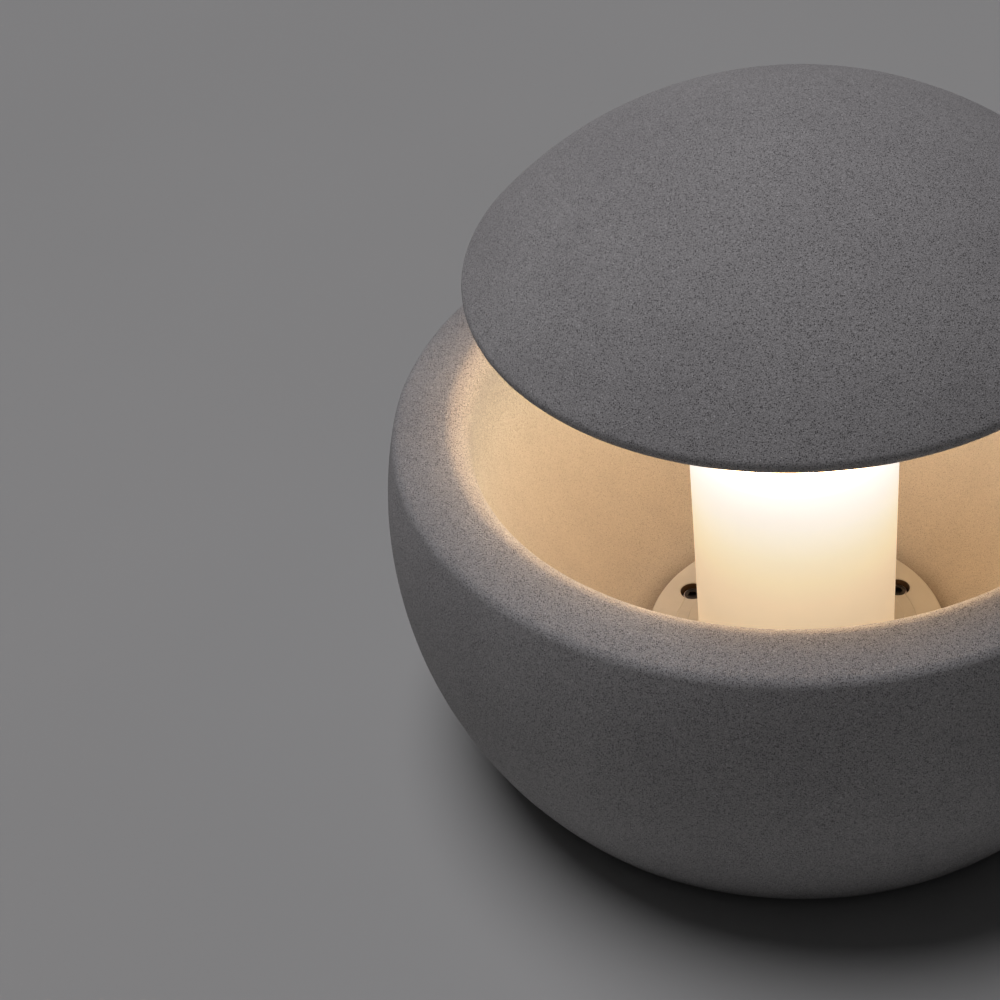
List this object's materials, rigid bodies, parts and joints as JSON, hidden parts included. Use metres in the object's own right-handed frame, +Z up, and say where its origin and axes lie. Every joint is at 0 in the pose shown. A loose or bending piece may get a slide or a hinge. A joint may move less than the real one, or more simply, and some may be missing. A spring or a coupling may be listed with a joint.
{
  "type": "garden lantern",
  "caption": "Ball-shaped cast-stone garden lantern: a hollow bowl with a domed cap carried above it on a glowing opal tube that holds a screw-in lamp.",
  "frame": {"origin": "middle of the undersides of the rubber feet, on the lantern's vertical axis", "axes": "+Z up along the lantern's axis; +Y towards the back, where the cable groove leaves the underside; +X to the right seen from the front"},
  "size_m": [0.3, 0.3, 0.2497],
  "materials": {
    "stone": "fine-grained cast sandstone, matt, with dark pores and pale grains",
    "plate": "satin cream powder coat",
    "opal_tube": "opal, satin, glowing warm white",
    "opal_globe": "opal, glowing warm white",
    "rubber": "matt",
    "steel": "zinc plated",
    "dark_steel": "black oxide",
    "brass": "plain",
    "ceramic": "white glaze",
    "nickel": "nickel plated",
    "white_plastic": "satin",
    "black_glass": "black moulded insulator",
    "led_board": "white solder mask",
    "brown_lead": "PVC insulation",
    "blue_lead": "PVC insulation"
  },
  "bodies": {
    "root": {"base_plate": "plate", "bracket_screw_1": "steel", "bracket_screw_2": "steel", "cable_clamp": "white_plastic", "cable_grommet": "rubber", "clamp_screw_1": "steel", "clamp_screw_2": "steel", "earth_screw": "brass", "earth_washer": "brass", "floor_gasket": "rubber", "foot_pad_1": "rubber", "foot_pad_2": "rubber", "foot_pad_3": "rubber", "foot_pad_4": "rubber", "holder_body": "ceramic", "holder_bracket": "steel", "holder_contact": "brass", "holder_screw_1": "steel", "holder_screw_2": "steel", "holder_shell": "nickel", "live_lead": "brown_lead", "lower_o_ring": "rubber", "neutral_lead": "blue_lead", "plate_screw_1": "dark_steel", "plate_screw_2": "dark_steel", "plate_screw_3": "dark_steel", "stone_anchor_1": "brass", "stone_anchor_2": "brass", "stone_anchor_3": "brass", "stone_bowl": "stone", "terminal_block": "white_plastic"},
    "diffuser": {"diffuser_tube": "opal_tube"},
    "cap": {"cap_gasket": "rubber", "cap_insert_1": "brass", "cap_insert_2": "brass", "cap_insert_3": "brass", "cap_o_ring": "rubber", "cap_plate": "plate", "cap_screw_1": "steel", "cap_screw_2": "steel", "cap_screw_3": "steel", "stone_cap": "stone"},
    "lamp_contact": {"bulb_contact": "nickel"},
    "lamp": {"bulb_globe": "opal_globe", "bulb_housing": "white_plastic", "bulb_insulator": "black_glass", "bulb_led_board": "led_board", "bulb_screw_cap": "nickel"}
  },
  "joints": [
    {"name": "diffuser_lift", "type": "slide", "parent": "root", "child": "diffuser", "axis": [0, 0, 1], "range_m": [0, 0.16]},
    {"name": "cap_lift", "type": "slide", "parent": "diffuser", "child": "cap", "axis": [0, 0, 1], "range_m": [0, 0.06]},
    {"name": "lamp_rise", "type": "slide", "parent": "root", "child": "lamp_contact", "axis": [0, 0, 1], "range_m": [0, 0.011]},
    {"name": "lamp_turn", "type": "hinge", "parent": "lamp_contact", "child": "lamp", "pos_m": [0, 0, 0.08], "axis": [0, 0, 1], "range_deg": [0, 1080]}
  ],
  "couplings": [
    {"joint": "lamp_rise", "follows": "lamp_turn", "m_per_rad": 0.00057296}
  ]
}
